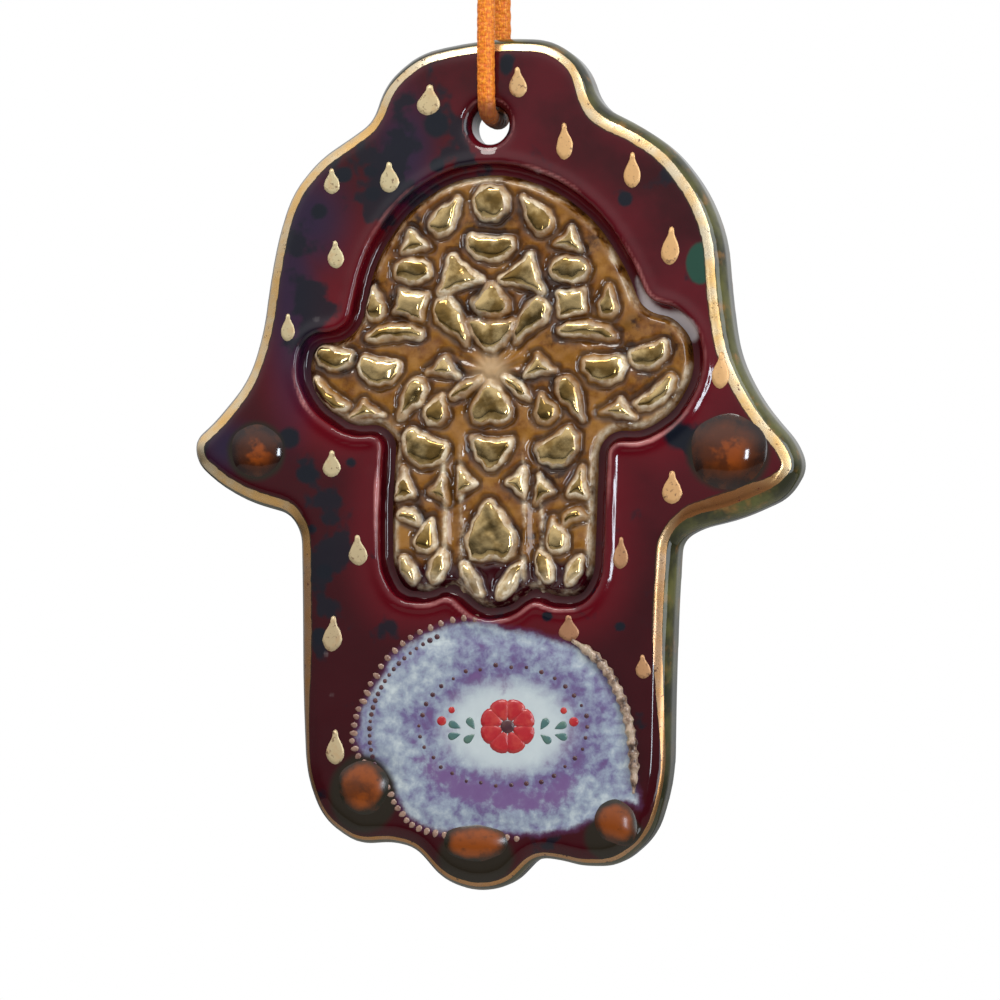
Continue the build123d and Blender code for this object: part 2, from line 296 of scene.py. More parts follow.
def setShader(material, **sockets):
    shader = shading["tree"].nodes["Principled BSDF"]
    for key, value in sockets.items():
        fill(shader.inputs[shading["sockets"][key]], value)
    return material


def scaled(vector, scale):
    return put("ShaderNodeMapping", {"Vector": vector, "Scale": scale})


def objectPlace(scale=(1, 1, 1)):
    return scaled(put("ShaderNodeTexCoord", output="Object"), scale)


def part(vector, index):
    return put("ShaderNodeSeparateXYZ", {0: vector}, index)


def noise(vector, scale, detail, roughness, distortion=0.0):
    return put("ShaderNodeTexNoise", {"Vector": vector, "Scale": scale, "Detail": detail,
                                      "Roughness": roughness, "Distortion": distortion}, "Fac")


def attribute(name):
    return put("ShaderNodeAttribute", output="Fac", attribute_name=name)


def sums(operation, a, b=0.0):
    return put("ShaderNodeMath", {0: a, 1: b}, operation=operation)


def stray(value, reach):
    # a noise's wandering about its middle
    return (value - 0.5) * reach


def step(value, low, high, first=0.0, last=1.0):
    return put("ShaderNodeMapRange", {"Value": value, "From Min": low, "From Max": high,
                                      "To Min": first, "To Max": last}, interpolation_type="SMOOTHSTEP")


def mix(share, a, b, blend="MIX"):
    return put("ShaderNodeMix", {0: share, 6: a, 7: b}, 2, data_type="RGBA", blend_type=blend,
               clamp_factor=True)


def ramp(value, stops):
    shade = put("ShaderNodeValToRGB", {"Fac": value}, "Color")
    elements = shade.socket.node.color_ramp.elements
    while len(elements) < len(stops):
        elements.new(0.5)
    for element, (position, colour) in zip(elements, stops):
        element.position = position
        element.color = colour
    return shade


def bump(height, distance, strength, normal=None):
    sockets = {"Height": height, "Distance": distance, "Strength": strength}
    if normal:
        sockets["Normal"] = normal
    return put("ShaderNodeBump", sockets)


glaze = {
    "maroon": paint(72, 8, 18),
    "maroonLow": paint(46, 3, 9),
    "crimson": paint(98, 10, 22),
    "cobalt": paint(15, 18, 27),
    # the navy is painted sheen: a bluish reflection laid on the maroon
    "navy": paint(28, 24, 49),
    "teal": paint(30, 62, 50),
    # pale celadon: partly a real pale run, partly a painted highlight
    "celadonAndHighlight": paint(190, 180, 180),
    "lip": paint(206, 134, 130),
    "olive": paint(84, 82, 40),
    "oliveDark": paint(38, 38, 22),
    "umber": paint(131, 92, 44),
    "clay": paint(255, 242, 205),
    "goldWarm": paint(222, 178, 112),
    "goldPale": paint(214, 198, 168),
    "goldCopper": paint(150, 98, 58),
    "poolPale": paint(134, 143, 157),
    "poolLilac": paint(102, 96, 130),
    "poolViolet": paint(76, 60, 98),
    "poolWhite": paint(178, 186, 187),
    "poolMauve": paint(104, 78, 120),
    "halo": paint(34, 28, 20),
    # kinds of spot: attribute, how ragged, where it starts and is full, the most of it, colour
    "spots": [("dark", 1.6, 0.2, 0.85, 1.0, "cobalt"), ("teal", 0.6, 0.3, 0.75, 1.0, "teal"),
              ("crest", 0.9, 0.35, 1.15, 0.8, "lip"), ("pale", 1.3, 0.35, 1.05, 0.9, "celadonAndHighlight")],
    "haloSpot": ("halo", 0.5, 0.2, 0.8, 1.0, "halo"),
    "roughness": 0.05,
    "ior": 1.42,                # lower than a real glaze's, so that the room veils the maroon less
    "wave": 0.05 * mm,
}


def spotted(colour, stain, kind, ragged, low, high, most, tint):
    # lays a glaze colour on one kind of spot
    return mix(step(attribute(kind) + stray(stain, ragged), low, high, 0.0, most), colour, glaze[tint])


def maroonGlaze():
    # the deep glaze of the plaque's face, with its painted gold line, olive sides and stains
    material = newMaterial("maroon_glaze")
    place = objectPlace()
    cloud = noise(place, 90, 4, 0.55)
    fine = noise(place, 900, 3, 0.6)
    stain = noise(place, 420, 3, 0.6) * 0.5 + noise(place, 170, 2, 0.5) * 0.5
    colour = mix(step(cloud, 0.35, 0.65), glaze["maroon"], glaze["maroonLow"])
    colour = mix(attribute("low") * 0.85, colour, glaze["maroonLow"])
    # the crimson tint, and the navy painted sheen on the left of the face
    for tint in ("crimson", "navy"):
        colour = mix(attribute(tint), colour, glaze[tint])
    speckle = noise(place, 210, 3, 0.55) + attribute("speckle") * 0.22
    colour = mix(step(speckle, 0.62, 0.72, 0.0, 0.9), colour, glaze["cobalt"])
    for row in glaze["spots"]:
        colour = spotted(colour, stain, *row)
    # the medallion's pale pool, feathered into the maroon
    feather = attribute("pool") + stray(noise(place, 620, 4, 0.65), 1.5)
    mottle = noise(place, 760, 5, 0.6, 0.2) * 0.55 + noise(place, 240, 3, 0.55) * 0.45
    mottle = mottle - attribute("ring") * 0.13
    pool = ramp(mottle, [(0.27, glaze["poolViolet"]), (0.37, glaze["poolLilac"]), (0.49, glaze["poolPale"]),
                         (0.64, glaze["poolWhite"])])
    pool = mix(attribute("oval"), pool, glaze["poolWhite"])
    broken = (mottle - 0.48) * -3.6
    pool = mix(step(attribute("violet") + broken, 0.25, 1.0, 0.0, 0.9), pool, glaze["poolMauve"])
    colour = mix(step(feather, -0.5, 0.6), colour, mix(0.5, glaze["maroon"], glaze["poolViolet"]))
    colour = mix(step(feather, 0.1, 0.95), colour, pool)
    colour = spotted(colour, stain, *glaze["haloSpot"])
    # the side wall and the bare back
    side = mix(step(noise(place, 140, 4, 0.6), 0.35, 0.62), glaze["olive"], glaze["oliveDark"])
    side = mix(step(noise(place, 330, 3, 0.6), 0.52, 0.75), side, glaze["umber"])
    side = mix(attribute("shade"), side, glaze["oliveDark"])
    clay = mix(step(cloud, 0.4, 0.7), glaze["clay"], glaze["umber"], "MULTIPLY")
    clay = mix(0.55, clay, glaze["clay"])
    side = mix(step(attribute("behind") + (stain - 0.5), 0.4, 1.0), side, clay)
    # the gold line, which runs from nought to one across its band
    edge = attribute("band") + stray(fine, 0.22)
    colour = mix(step(edge, -0.04, 0.04), side, colour)
    gold = step(edge, -0.07, 0.0) * step(edge, 1.0, 1.06, 1.0, 0.0)
    worn = step(noise(place, 1500, 4, 0.7), 0.30, 0.40)
    gold = gold * worn
    outline = step(edge, 1.0, 1.05) * step(edge, 1.1, 1.2, 1.0, 0.0)
    colour = mix(outline * 0.55, colour, glaze["oliveDark"])
    lustre = mix(step(stain, 0.35, 0.65), glaze["goldWarm"], glaze["goldPale"])
    colour = mix(gold, colour, mix(attribute("copper"), lustre, glaze["goldCopper"]))
    rough = gold * 0.2 + fine * 0.05 + glaze["roughness"] + step(attribute("behind"), 0.5, 1.0) * 0.4
    normal = bump(noise(place, 160, 2, 0.4), glaze["wave"] * 3, 0.35)
    normal = bump(fine, glaze["wave"] * 0.3, 0.25, normal)
    return setShader(material, colour=colour, metallic=gold * 0.9, roughness=rough, ior=glaze["ior"],
                     normal=normal)


relief = {
    "cell": 0.2 * mm,
    "margin": 0.4 * mm,         # how far the sheet first reaches past the hand, and still does when trimmed
    "overhang": 0.25 * mm,
    "sunk": 0.2 * mm,           # how deep the hand's back sits in the recess's floor
    "ground": 1.0 * mm,
    "rise": 1.3 * mm,
    "swell": 0.42,              # how far the scrolls' rims reach past the solids', in millimetres
    "shoulder": 0.95,           # from a scroll's rim to the top of its steep flank
    "dome": 2.1,                # from a scroll's rim to its crown
    "lean": 0.26,               # how far a scroll's crown leans, as a share of its height
    "dish": 0.10,
    "ribbon": 0.38 * mm,        # the ground's swell between the scrolls
    "waver": 0.13 * mm,         # how far the scrolls' rims stray
    "ridge": 0.20 * mm,
    "fingerLines": (443, 460, 523, 540),
    "groove": 0.35 * mm,
    "grooves": (452, 533),      # the grooves between the fingers, in pixels across
    "grooveTop": 430,
    # a stroke's sway, its half width and the length over which it starts
    "grooveStroke": (0, 0.42 * mm, 4 * mm),
    "lineStroke": (0.12 * mm, 0.28 * mm, 5 * mm),
    "swayPitch": 1.9 * mm,
    "hub": (490, 372),          # the fan of ribs spreads from here
    "ribs": 13,
    "ribRise": 0.24 * mm,
    "pips": [(487, 541, 8), (426, 447, 6), (585, 350, 6)],
    "pipRise": 0.28 * mm,
    "footTop": 560,             # the finger ends darken below this pixel
    "amber": paint(104, 61, 16),
    "honey": paint(138, 94, 38),
    "brown": paint(48, 26, 9),
    "cream": paint(232, 218, 190),
    "rose": paint(180, 150, 112),
    "gold": paint(206, 178, 124),
    "goldDeep": paint(134, 106, 58),
}


def amberLustre():
    # the relief hand: honey glaze that pools in the ground, pale on the rims, gold lustre on the crowns
    material = newMaterial("amber_glaze")
    place = objectPlace()
    cloud = noise(place, 240, 4, 0.6)
    fine = noise(place, 1400, 3, 0.6)
    ragged = noise(place, 700, 3, 0.6)
    patchy = noise(place, 190, 2, 0.5)
    crown = attribute("crown")
    colour = ramp(cloud, [(0.34, relief["brown"]), (0.46, relief["amber"]), (0.64, relief["honey"])])
    # painted shade round the foot of each scroll, and painted light where the honey lies on the ribbons between them
    foot = step(crown, -1.3, -0.6) * step(crown, -0.42, -0.15, 1.0, 0.0)
    colour = mix(foot * 0.65, colour, relief["brown"])
    ribbon = step(crown, -0.8, -1.3)
    colour = mix(ribbon * step(ragged, 0.42, 0.6, 0.0, 0.5), colour, relief["honey"])
    colour = mix(step(attribute("hub"), 0.2, 0.9, 0.0, 0.8), colour, relief["rose"])
    colour = mix(step(attribute("foot") + (cloud - 0.5), 0.3, 0.7), colour, glaze["maroonLow"])
    shape = crown + stray(ragged, 0.5) + stray(patchy, 0.5)
    rim = step(shape, -0.42, 0.06, 0.0, 0.95) * step(patchy, 0.36, 0.56, 0.35, 1.0)
    rim = sums("MAXIMUM", rim, attribute("border") * step(cloud, 0.40, 0.60))
    colour = mix(rim, colour, mix(step(fine, 0.3, 0.7), relief["cream"], relief["rose"]))
    gold = step(shape, 0.16, 0.32) * step(attribute("foot"), 0.6, 1.0, 1.0, 0.45)
    colour = mix(gold, colour, mix(step(cloud, 0.4, 0.6), relief["gold"], relief["goldDeep"]))
    normal = bump(noise(place, 520, 3, 0.5), 0.12 * mm, 0.5)
    normal = bump(fine, 0.03 * mm, 0.4, normal)
    return setShader(material, colour=colour, metallic=gold * 0.95, roughness=gold * 0.05 + fine * 0.06 + 0.05,
                     ior=1.5, normal=normal)


lustre = {
    "left": paint(196, 180, 140),
    "right": paint(208, 162, 108),
    "patches": paint(190, 147, 100),
    "dull": paint(135, 85, 64),
    "pinholes": paint(104, 72, 52),
    "metallic": 0.35,
    "roughness": 0.42,
}


def goldLustre():
    # the hand-painted gold of the teardrops: thin, a little matt, speckled with pinholes
    material = newMaterial("gold_lustre")
    place = objectPlace()
    fine = noise(place, 2400, 3, 0.6)
    colour = mix(step(part(place, 0), -14 * mm, 12 * mm), lustre["left"], lustre["right"])
    colour = mix(step(noise(place, 700, 3, 0.6), 0.5, 0.7, 0.0, 0.4), colour, lustre["patches"])
    colour = mix(attribute("dull"), colour, lustre["dull"])
    colour = mix(step(fine, 0.58, 0.70, 0.0, 0.8), colour, lustre["pinholes"])
    return setShader(material, colour=colour, metallic=lustre["metallic"], roughness=lustre["roughness"],
                     normal=bump(fine, 0.03 * mm, 0.5))


glassTints = {
    "heart": paint(124, 58, 8),
    "dimHeart": paint(32, 14, 10),
    "skirt": paint(26, 22, 10),
    "dimSkirt": paint(32, 14, 13),
    "cloud": paint(72, 34, 12),
    "specks": paint(51, 29, 12),
    "core": paint(146, 68, 14),
}


def amberGlass():
    # melted glass: an amber heart that darkens to a green-black skirt
    material = newMaterial("amber_glass")
    place = objectPlace()
    heart = attribute("heart") + stray(noise(place, 330, 4, 0.6), 0.5)
    dim = attribute("dim")
    bright = mix(dim, glassTints["heart"], glassTints["dimHeart"])
    colour = mix(step(heart, 0.08, 0.42), mix(dim, glassTints["skirt"], glassTints["dimSkirt"]), bright)
    colour = mix(step(noise(place, 260, 4, 0.65), 0.46, 0.66, 0.0, 0.75), colour, glassTints["cloud"])
    colour = mix(step(noise(place, 900, 3, 0.6), 0.55, 0.75, 0.0, 0.6), colour, glassTints["specks"])
    core = step(heart, 0.3, 0.75) * step(noise(place, 380, 3, 0.55), 0.44, 0.58)
    colour = mix(core * dim * 0.75, colour, glassTints["core"])
    return setShader(material, colour=colour, roughness=step(dim, 0.2, 0.7, 0.22, 0.08), ior=1.5,
                     normal=bump(noise(place, 420, 2, 0.4), 0.06 * mm, 0.35))


def enamel(name, colour, other, share=0.35):
    # a painted colour, clouded with another
    material = newMaterial(name)
    place = objectPlace()
    shown = mix(step(noise(place, 700, 4, 0.6), 0.4, 0.7, 0.0, share), colour, other)
    return setShader(material, colour=shown, roughness=0.16, ior=1.5,
                     normal=bump(noise(place, 1500, 2, 0.5), 0.02 * mm, 0.4))


def slipRidge():
    # the trailed slip round the medallion: beige-brown, with darker glaze between the beads
    material = newMaterial("slip_ridge")
    cloud = noise(objectPlace(), 800, 4, 0.65)
    colour = ramp(cloud, [(0.36, paint(60, 42, 34)), (0.46, paint(126, 102, 84)), (0.58, paint(170, 148, 128)),
                          (0.72, paint(116, 106, 78))])
    return setShader(material, colour=colour, roughness=0.28, ior=1.5, normal=bump(cloud, 0.08 * mm, 0.6))


def satinCord():
    # satin threads laid in a tight braid, from the cord's own UV: u runs along it and v round it
    material = newMaterial("satin_cord")
    along = put("ShaderNodeUVMap", uv_map="UVMap")
    reach, turns = part(along, 0), part(along, 1) * 2.0
    braid = sums("MAXIMUM", sums("SINE", (reach + turns) * (4 * math.pi)),
                 sums("SINE", (reach - turns) * (4 * math.pi)))
    fibre = noise(scaled(along, (1.2, 26.0, 1.0)), 1.6, 3, 0.6)
    glint = noise(scaled(along, (3.0, 9.0, 1.0)), 2.0, 3, 0.6)
    colour = mix(step(fibre, 0.35, 0.68), cord["deep"], cord["light"])
    # painted shade: the deeper orange lies in the braid's hollows
    colour = mix(step(braid, -0.4, 0.5, 0.55, 0.0), colour, cord["deep"])
    colour = mix(step(glint, 0.55, 0.72, 0.0, 0.55), colour, cord["glint"])
    # the cord darkens as it goes into the hole
    height = part(put("ShaderNodeTexCoord", output="Object"), 2)
    colour = mix(step(height, -24.5 * mm, -26.6 * mm, 0.0, 0.8), colour, cord["shadow"])
    return setShader(material, colour=colour, roughness=0.48, specular=0.35, sheen=0.03,
                     normal=bump(braid * 0.5 + fibre * 0.7, 0.09 * mm, 0.8))


# Camera and cord

camera = {"azimuth": 10.5, "elevation": -1.0, "distance": 0.5, "across": 117.1 * mm, "sensor": 36.0}


def makeCamera():
    x, z = facePoint(*picture["centre"])
    target = Vector((x, plaque["faceY"], z))
    turn, tilt = math.radians(camera["azimuth"]), math.radians(camera["elevation"])
    away = Vector((math.sin(turn) * math.cos(tilt), -math.cos(turn) * math.cos(tilt), math.sin(tilt)))
    data = bpy.data.cameras.new("camera")
    data.sensor_width = camera["sensor"]
    data.lens = camera["sensor"] * camera["distance"] / camera["across"]
    data.clip_start = 0.01
    obj = bpy.data.objects.new("camera", data)
    obj.location = target + away * camera["distance"]
    obj.rotation_euler = (-away).to_track_quat("-Z", "Y").to_euler()
    bpy.context.scene.collection.objects.link(obj)
    bpy.context.scene.camera = obj


cord = {
    "radius": 1.05 * mm,
    "neckY": 1.35 * mm,
    "exitZ": 5 * mm,
    # the front strand's route as (y, z), which the back strand mirrors
    "route": [(1.35, 5.0), (1.35, 0.0), (5.4, -10.0), (5.4, -25.577), (3.877, -27.1)],
    "sides": 24,
    "steps": 60,
    "braid": 0.035,             # how far the threads stand out, as a share of the radius
    "braidPitch": 1.6 * mm,
    "light": paint(238, 146, 26),
    "deep": paint(196, 88, 14),
    "glint": paint(250, 190, 84),
    "shadow": paint(104, 50, 24),
}


def tube(name, route, radius, steps):
    # a round tube along a smooth NURBS line, as a mesh, and the line's points
    data = bpy.data.curves.new(name, "CURVE")
    data.dimensions = "3D"
    data.resolution_u = steps
    data.use_fill_caps = True
    spline = data.splines.new("NURBS")
    spline.points.add(len(route) - 1)
    for point, place in zip(spline.points, route):
        point.co = (*place, 1)
    spline.order_u = 3
    spline.use_endpoint_u = True
    holder = bpy.data.objects.new(name, data)
    bpy.context.scene.collection.objects.link(holder)
    depsgraph = bpy.context.evaluated_depsgraph_get()
    line = bpy.data.meshes.new_from_object(holder.evaluated_get(depsgraph))
    path = [v.co.copy() for v in line.vertices]
    data.bevel_depth = radius
    data.bevel_resolution = cord["sides"] // 2 - 2
    depsgraph.update()
    mesh = bpy.data.meshes.new_from_object(holder.evaluated_get(bpy.context.evaluated_depsgraph_get()))
    bpy.data.objects.remove(holder)
    bpy.data.meshes.remove(line)
    bm = bmesh.new()
    bm.from_mesh(mesh)
    bpy.data.meshes.remove(mesh)
    return bm, path


def ringsOf(bm):
    # a tube's rings of points, each with its centre
    sides = cord["sides"]
    bm.verts.ensure_lookup_table()
    rings = [bm.verts[i * sides:(i + 1) * sides] for i in range(len(bm.verts) // sides)]
    return [(ring, sum((v.co for v in ring), Vector()) / sides) for ring in rings]


def braided(bm):
    # lays the cord's UV in pitches along and turns round, and raises its threads
    sides, pitch, depth = cord["sides"], cord["braidPitch"], cord["braid"]
    rings = ringsOf(bm)
    ringOf, travelled, last = {}, 0.0, rings[0][1]
    for ring, centre in rings:
        travelled += (centre - last).length
        last = centre
        for side, vert in enumerate(ring):
            turn = side / sides
            lay = max(math.sin(2 * math.pi * (travelled / pitch + 2 * turn)),
                      math.sin(2 * math.pi * (travelled / pitch - 2 * turn)))
            vert.co = centre + (vert.co - centre) * (1 - depth + depth * lay)
            ringOf[vert] = (travelled, turn)
    layer = bm.loops.layers.uv.verify()
    for face in bm.faces:
        turns = [ringOf[loop.vert][1] for loop in face.loops if loop.vert in ringOf]
        wraps = turns and max(turns) - min(turns) > 0.5
        for loop in face.loops:
            reach, turn = ringOf.get(loop.vert, (0.0, 0.0))
            loop[layer].uv = (reach / pitch, turn + 1 if wraps and turn < 0.5 else turn)


def makeCord(material):
    front = [(0.0, -y * mm, z * mm) for y, z in cord["route"]]
    route = front + [(0.0, -y, z) for _, y, z in reversed(front)]
    bm, path = tube("satinCord", route, cord["radius"], cord["steps"])
    braided(bm)
    obj = makeObject("satinCord", bm, material)
    rideAs(obj, "cord", "satin_cord", "hanging_cord")
    length = sum((b - a).length for a, b in zip(path, path[1:]))
    print("cord", round(length / mm, 2), "mm,", len(obj.data.vertices), "points")
    return obj, path, length


knot = {
    "turns": 3,
    "rise": 5.4 * mm,
    "reach": 2.25 * mm,         # from the knot's axis to the middle of the wrapped cord
    "inset": 0.95 * mm,         # from the knot's ends to the middle of its outer turns
    "tuck": (-0.6 * mm, 0.9 * mm),  # where the wrapped cord's ends hide, as y and from the knot's ends
    "wrapShare": 0.98,          # the wrapped cord's radius, as a share of the cord's
    "turnPoints": 12,
    "tail": 7.0 * mm,
    "lean": 1.6 * mm,
    "tailRadius": 1.0 * mm,
}


def makeKnot(material):
    low, rise = cord["exitZ"], knot["rise"]
    count = knot["turns"] * knot["turnPoints"]
    tuckY, tuckZ = knot["tuck"]
    route = [(0.0, tuckY, low + tuckZ)]
    for i in range(count + 1):
        turn = 2 * math.pi * i / knot["turnPoints"]
        height = low + knot["inset"] + (rise - 2 * knot["inset"]) * i / count
        route.append((knot["reach"] * math.sin(turn), -knot["reach"] * math.cos(turn), height))
    route.append((0.0, tuckY, low + rise - tuckZ))
    strands = [(route, cord["radius"] * knot["wrapShare"], 8)]
    for side in (-1, 1):
        strands.append(([
            (0.0, side * cord["neckY"] * 0.7, low + rise * 0.4),
            (0.0, side * cord["neckY"], low + rise + 0.6 * mm),
            (0.2 * mm * side, side * (cord["neckY"] + knot["lean"] * 0.5), low + rise + knot["tail"] * 0.55),
            (0.3 * mm * side, side * (cord["neckY"] + knot["lean"] * 0.9), low + rise + knot["tail"] * 0.96),
        ], knot["tailRadius"], 24))
    whole = bmesh.new()
    for strand in strands:
        bm, _ = tube("turn", *strand)
        braided(bm)
        mesh = bpy.data.meshes.new("turn")
        bm.to_mesh(mesh)
        bm.free()
        whole.from_mesh(mesh)
        bpy.data.meshes.remove(mesh)
    obj = makeObject("cordKnot", whole, material)
    rideAs(obj, "cord", "satin_cord", "cord_knot")
    return obj


makeCamera()
cordSatin = satinCord()
satin, cordPath, cordLength = makeCord(cordSatin)
cordKnot = makeKnot(cordSatin)
2 * cord["radius"]
print("camera and cord placed")


# Plaque

# Stains and spots as (x, y, half width, half height) in the photograph's pixels
darkSpots = [
    (437, 122, 15, 15), (342, 172, 10, 9), (370, 168, 9, 8), (372, 191, 9, 9), (317, 208, 10, 10), (437, 164, 9, 8),
    (625, 201, 8, 8), (350, 462, 7, 6), (304, 473, 11, 10), (310, 529, 7, 6), (323, 571, 9, 8), (318, 636, 9, 9),
    (547, 616, 6, 5), (619, 626, 6, 5), (287, 437, 13, 12), (506, 64, 8, 13), (678, 436, 16, 16), (700, 448, 18, 26),
]
haloSpots = [(362, 795, 37, 43), (475, 858, 42, 30), (614, 836, 32, 26), (253, 450, 32, 32), (727, 455, 44, 40)]
speckledAreas = [(385, 150, 90, 80), (300, 260, 40, 110), (320, 560, 30, 90), (690, 440, 30, 30)]
paleSpots = [(315, 317, 9, 7), (331, 695, 7, 7), (325, 655, 5, 6), (392, 170, 6, 5), (540, 171, 10, 5)]
# The celadon run beside the right thumb: partly the glaze's own pale run, partly a painted highlight
celadonAndHighlightOutline = [
    (632, 272), (640, 288), (650, 303), (661, 312), (676, 311), (690, 320), (698, 336), (688, 344), (678, 330),
    (664, 324), (652, 334), (641, 330), (640, 310), (634, 292),
]
tealSpots = [(699, 266, 15, 22)]
# The painted pool of the medallion, clockwise from its top, and the plain oval in it
poolOutline = [
    (470, 616), (512, 628), (552, 634), (584, 647), (608, 670), (626, 702), (634, 738), (636, 776), (642, 812),
    (624, 800), (606, 818), (574, 830), (532, 838), (492, 834), (448, 836), (414, 828), (396, 806), (384, 776),
    (352, 754), (354, 722), (368, 690), (390, 654), (424, 630),
]
poolOval = (508, 727, 66, 46)
# the mauve sweep under the oval
mauveRoute = [(398, 742), (424, 764), (458, 786), (500, 801), (548, 800), (584, 780)]

band = {
    # the gold line's outer and inner reach over the edge, in millimetres, at the left and at the right
    "left": (-0.6, 1.15),
    "top": (0.2, 1.4),
    "right": (0.75, 2.1),
    "bottom": (-0.5, 0.35),
    "waver": 0.16,
}


# Areas of the glaze, again as (x, y, half width, half height)
underThumb = [(745, 500, 60, 26), (700, 530, 30, 40)]
crimsonAreas = [(352, 300, 60, 110), (330, 380, 60, 60)]
# where the navy painted sheen lies, on the left of the face
navySheenAreas = [(290, 300, 26, 120), (306, 215, 40, 50), (225, 445, 30, 24), (404, 150, 30, 60)]
poolRing = (512, 730, 106, 84)


def spotShare(points, spots, soft=0.55):
    # one inside a spot and nothing past its edge, for the strongest of the spots
    value = np.zeros(len(points))
    for px, py, halfWide, halfTall in spots:
        x, z = facePoint(px, py)
        far = np.hypot((points[:, 0] - x) / (halfWide * picture["pixel"]),
                       (points[:, 1] - z) / (halfTall * picture["pixel"]))
        value = np.maximum(value, 1 - smoothStep(far, 1 - soft, 1 + soft * 0.7))
    return value


def paintGlaze(obj, plaqueLoop, recessLoop, holeRadius):
    # the attributes that the maroon glaze reads, worked out from the outlines
    co = pointsOf(obj)
    points = co[:, [0, 2]]
    across, up = points[:, 0], points[:, 1]
    inside = signedDistance(points, plaqueLoop) / mm
    recess = signedDistance(points, recessLoop) / mm
    rise = (plaque["faceY"] - co[:, 1]) / mm
    # from the face over the rounded edge and down the side, in millimetres
    over = np.maximum(inside, 0) + np.minimum(rise, 0) * (inside < 3)
    over = np.where(co[:, 1] > plaque["bareY"], np.minimum(over, -3), over)
    right = smoothStep(across, -8 * mm, 10 * mm)
    bottom = 1 - smoothStep(up, -104 * mm, -86 * mm)
    low = (1 - right) * band["left"][0] + right * band["right"][0]
    high = (1 - right) * band["left"][1] + right * band["right"][1]
    for share, end in ((smoothStep(up, -30 * mm, -21 * mm), "top"), (bottom, "bottom")):
        low = low * (1 - share) + band[end][0] * share
        high = high * (1 - share) + band[end][1] * share
    under = spotShare(points, underThumb, 0.5)
    low = low + 0.7 * under
    high = high + 0.9 * under
    drift = wobble(points, 14 * mm, 3) * band["waver"]
    near = 1 - smoothStep(-recess, 0.5, 6.5)
    crimson = near * (recess < 0) * (0.2 + 0.4 * smoothStep(-up, 38 * mm, 70 * mm))
    crimson += 0.2 * smoothStep(recess, -0.3, 0.2)
    crimson += 0.35 * spotShare(points, crimsonAreas, 0.7)
    # the pale run beside the right thumb, which also carries a painted highlight
    celadonAndHighlight = smoothStep(signedDistance(points, faceLoop(celadonAndHighlightOutline)) / mm, -0.9, 0.7)
    hole = np.hypot(across, up - plaque["holeZ"]) / mm
    crest = hill(recess + 0.42, 0.42) * (0.55 + 0.45 * wobble(points, 22 * mm, 9))
    crest = np.maximum(crest, 0.62 * hill(hole - holeRadius / mm - 0.75, 0.3))
    sweep = routeDistance(points, [facePoint(*p) for p in mauveRoute]) / mm
    comes, full, leaves, gone = (facePoint(px, 0)[0] for px in (390, 440, 560, 600))
    fade = smoothStep(across, comes, full) * (1 - smoothStep(across, leaves, gone))
    layers = {
        "band": (over + drift - low) / (high - low),
        "copper": np.clip(0.75 * smoothStep(-up, 66 * mm, 84 * mm) + 0.8 * under, 0, 1),
        "shade": np.clip(1 - right + bottom, 0, 1) * 0.7,
        "behind": smoothStep(co[:, 1], 3.0 * mm, 3.9 * mm),
        "low": smoothStep(-up - across * 0.5, 40 * mm, 85 * mm),
        "crimson": np.clip(crimson, 0, 1),
        "navy": 0.8 * spotShare(points, navySheenAreas, 0.8),
        "dark": spotShare(points, darkSpots),
        "halo": 0.9 * spotShare(points, haloSpots, 0.3),
        "teal": spotShare(points, tealSpots, 0.4),
        "pale": np.maximum(0.5 * spotShare(points, paleSpots, 0.9), celadonAndHighlight),
        "speckle": spotShare(points, speckledAreas, 0.9),
        "crest": crest,
        "pool": np.clip(signedDistance(points, faceLoop(poolOutline)) / mm, -3, 3),
        "oval": 0.9 * spotShare(points, [poolOval], 0.35),
        "ring": spotShare(points, [poolRing], 0.4) - spotShare(points, [poolOval], 0.4),
        "violet": 0.7 * fade * hill(sweep, 1.5),
    }
    for name, values in layers.items():
        setAttribute(obj, name, values)


def makePlaque(material):
    bm = nodeMesh("plaque_body")
    loops = sorted(sectionLoops(bm, plaque["floorY"] - 0.6 * mm), key=loopSize)
    holeLoop, recessLoop = loops[0], loops[-2]
    plaqueLoop = max(sectionLoops(bm, 0.3 * mm), key=loopSize)
    for vert in bm.verts:        # the wells come up flush, and the glass is laid over them
        if abs(vert.co.y - plaque["wellY"]) < 0.01 * mm:
            vert.co.y = plaque["faceY"]
    obj = makeObject("glazedPlaque", bm, material)
    remesh = obj.modifiers.new("remesh", "REMESH")
    remesh.mode = "VOXEL"
    remesh.voxel_size = plaque["voxel"]
    soften = obj.modifiers.new("soften", "SMOOTH")
    soften.iterations = plaque["smoothing"]
    soften.factor = 0.5
    applyModifiers(obj)
    if not obj.data.materials:
        obj.data.materials.append(material)
    holeRadius = float(np.ptp(holeLoop[:, 0])) / 2
    paintGlaze(obj, plaqueLoop, recessLoop, holeRadius)
    rideAs(obj, "plaque", "maroon_glaze", "plaque_body")
    print("plaque", len(obj.data.polygons), "faces")
    return obj, plaqueLoop, recessLoop, holeRadius


plaqueGlaze = maroonGlaze()
glazedPlaque, plaqueLoop, recessLoop, holeRadius = makePlaque(plaqueGlaze)


# Relief hand

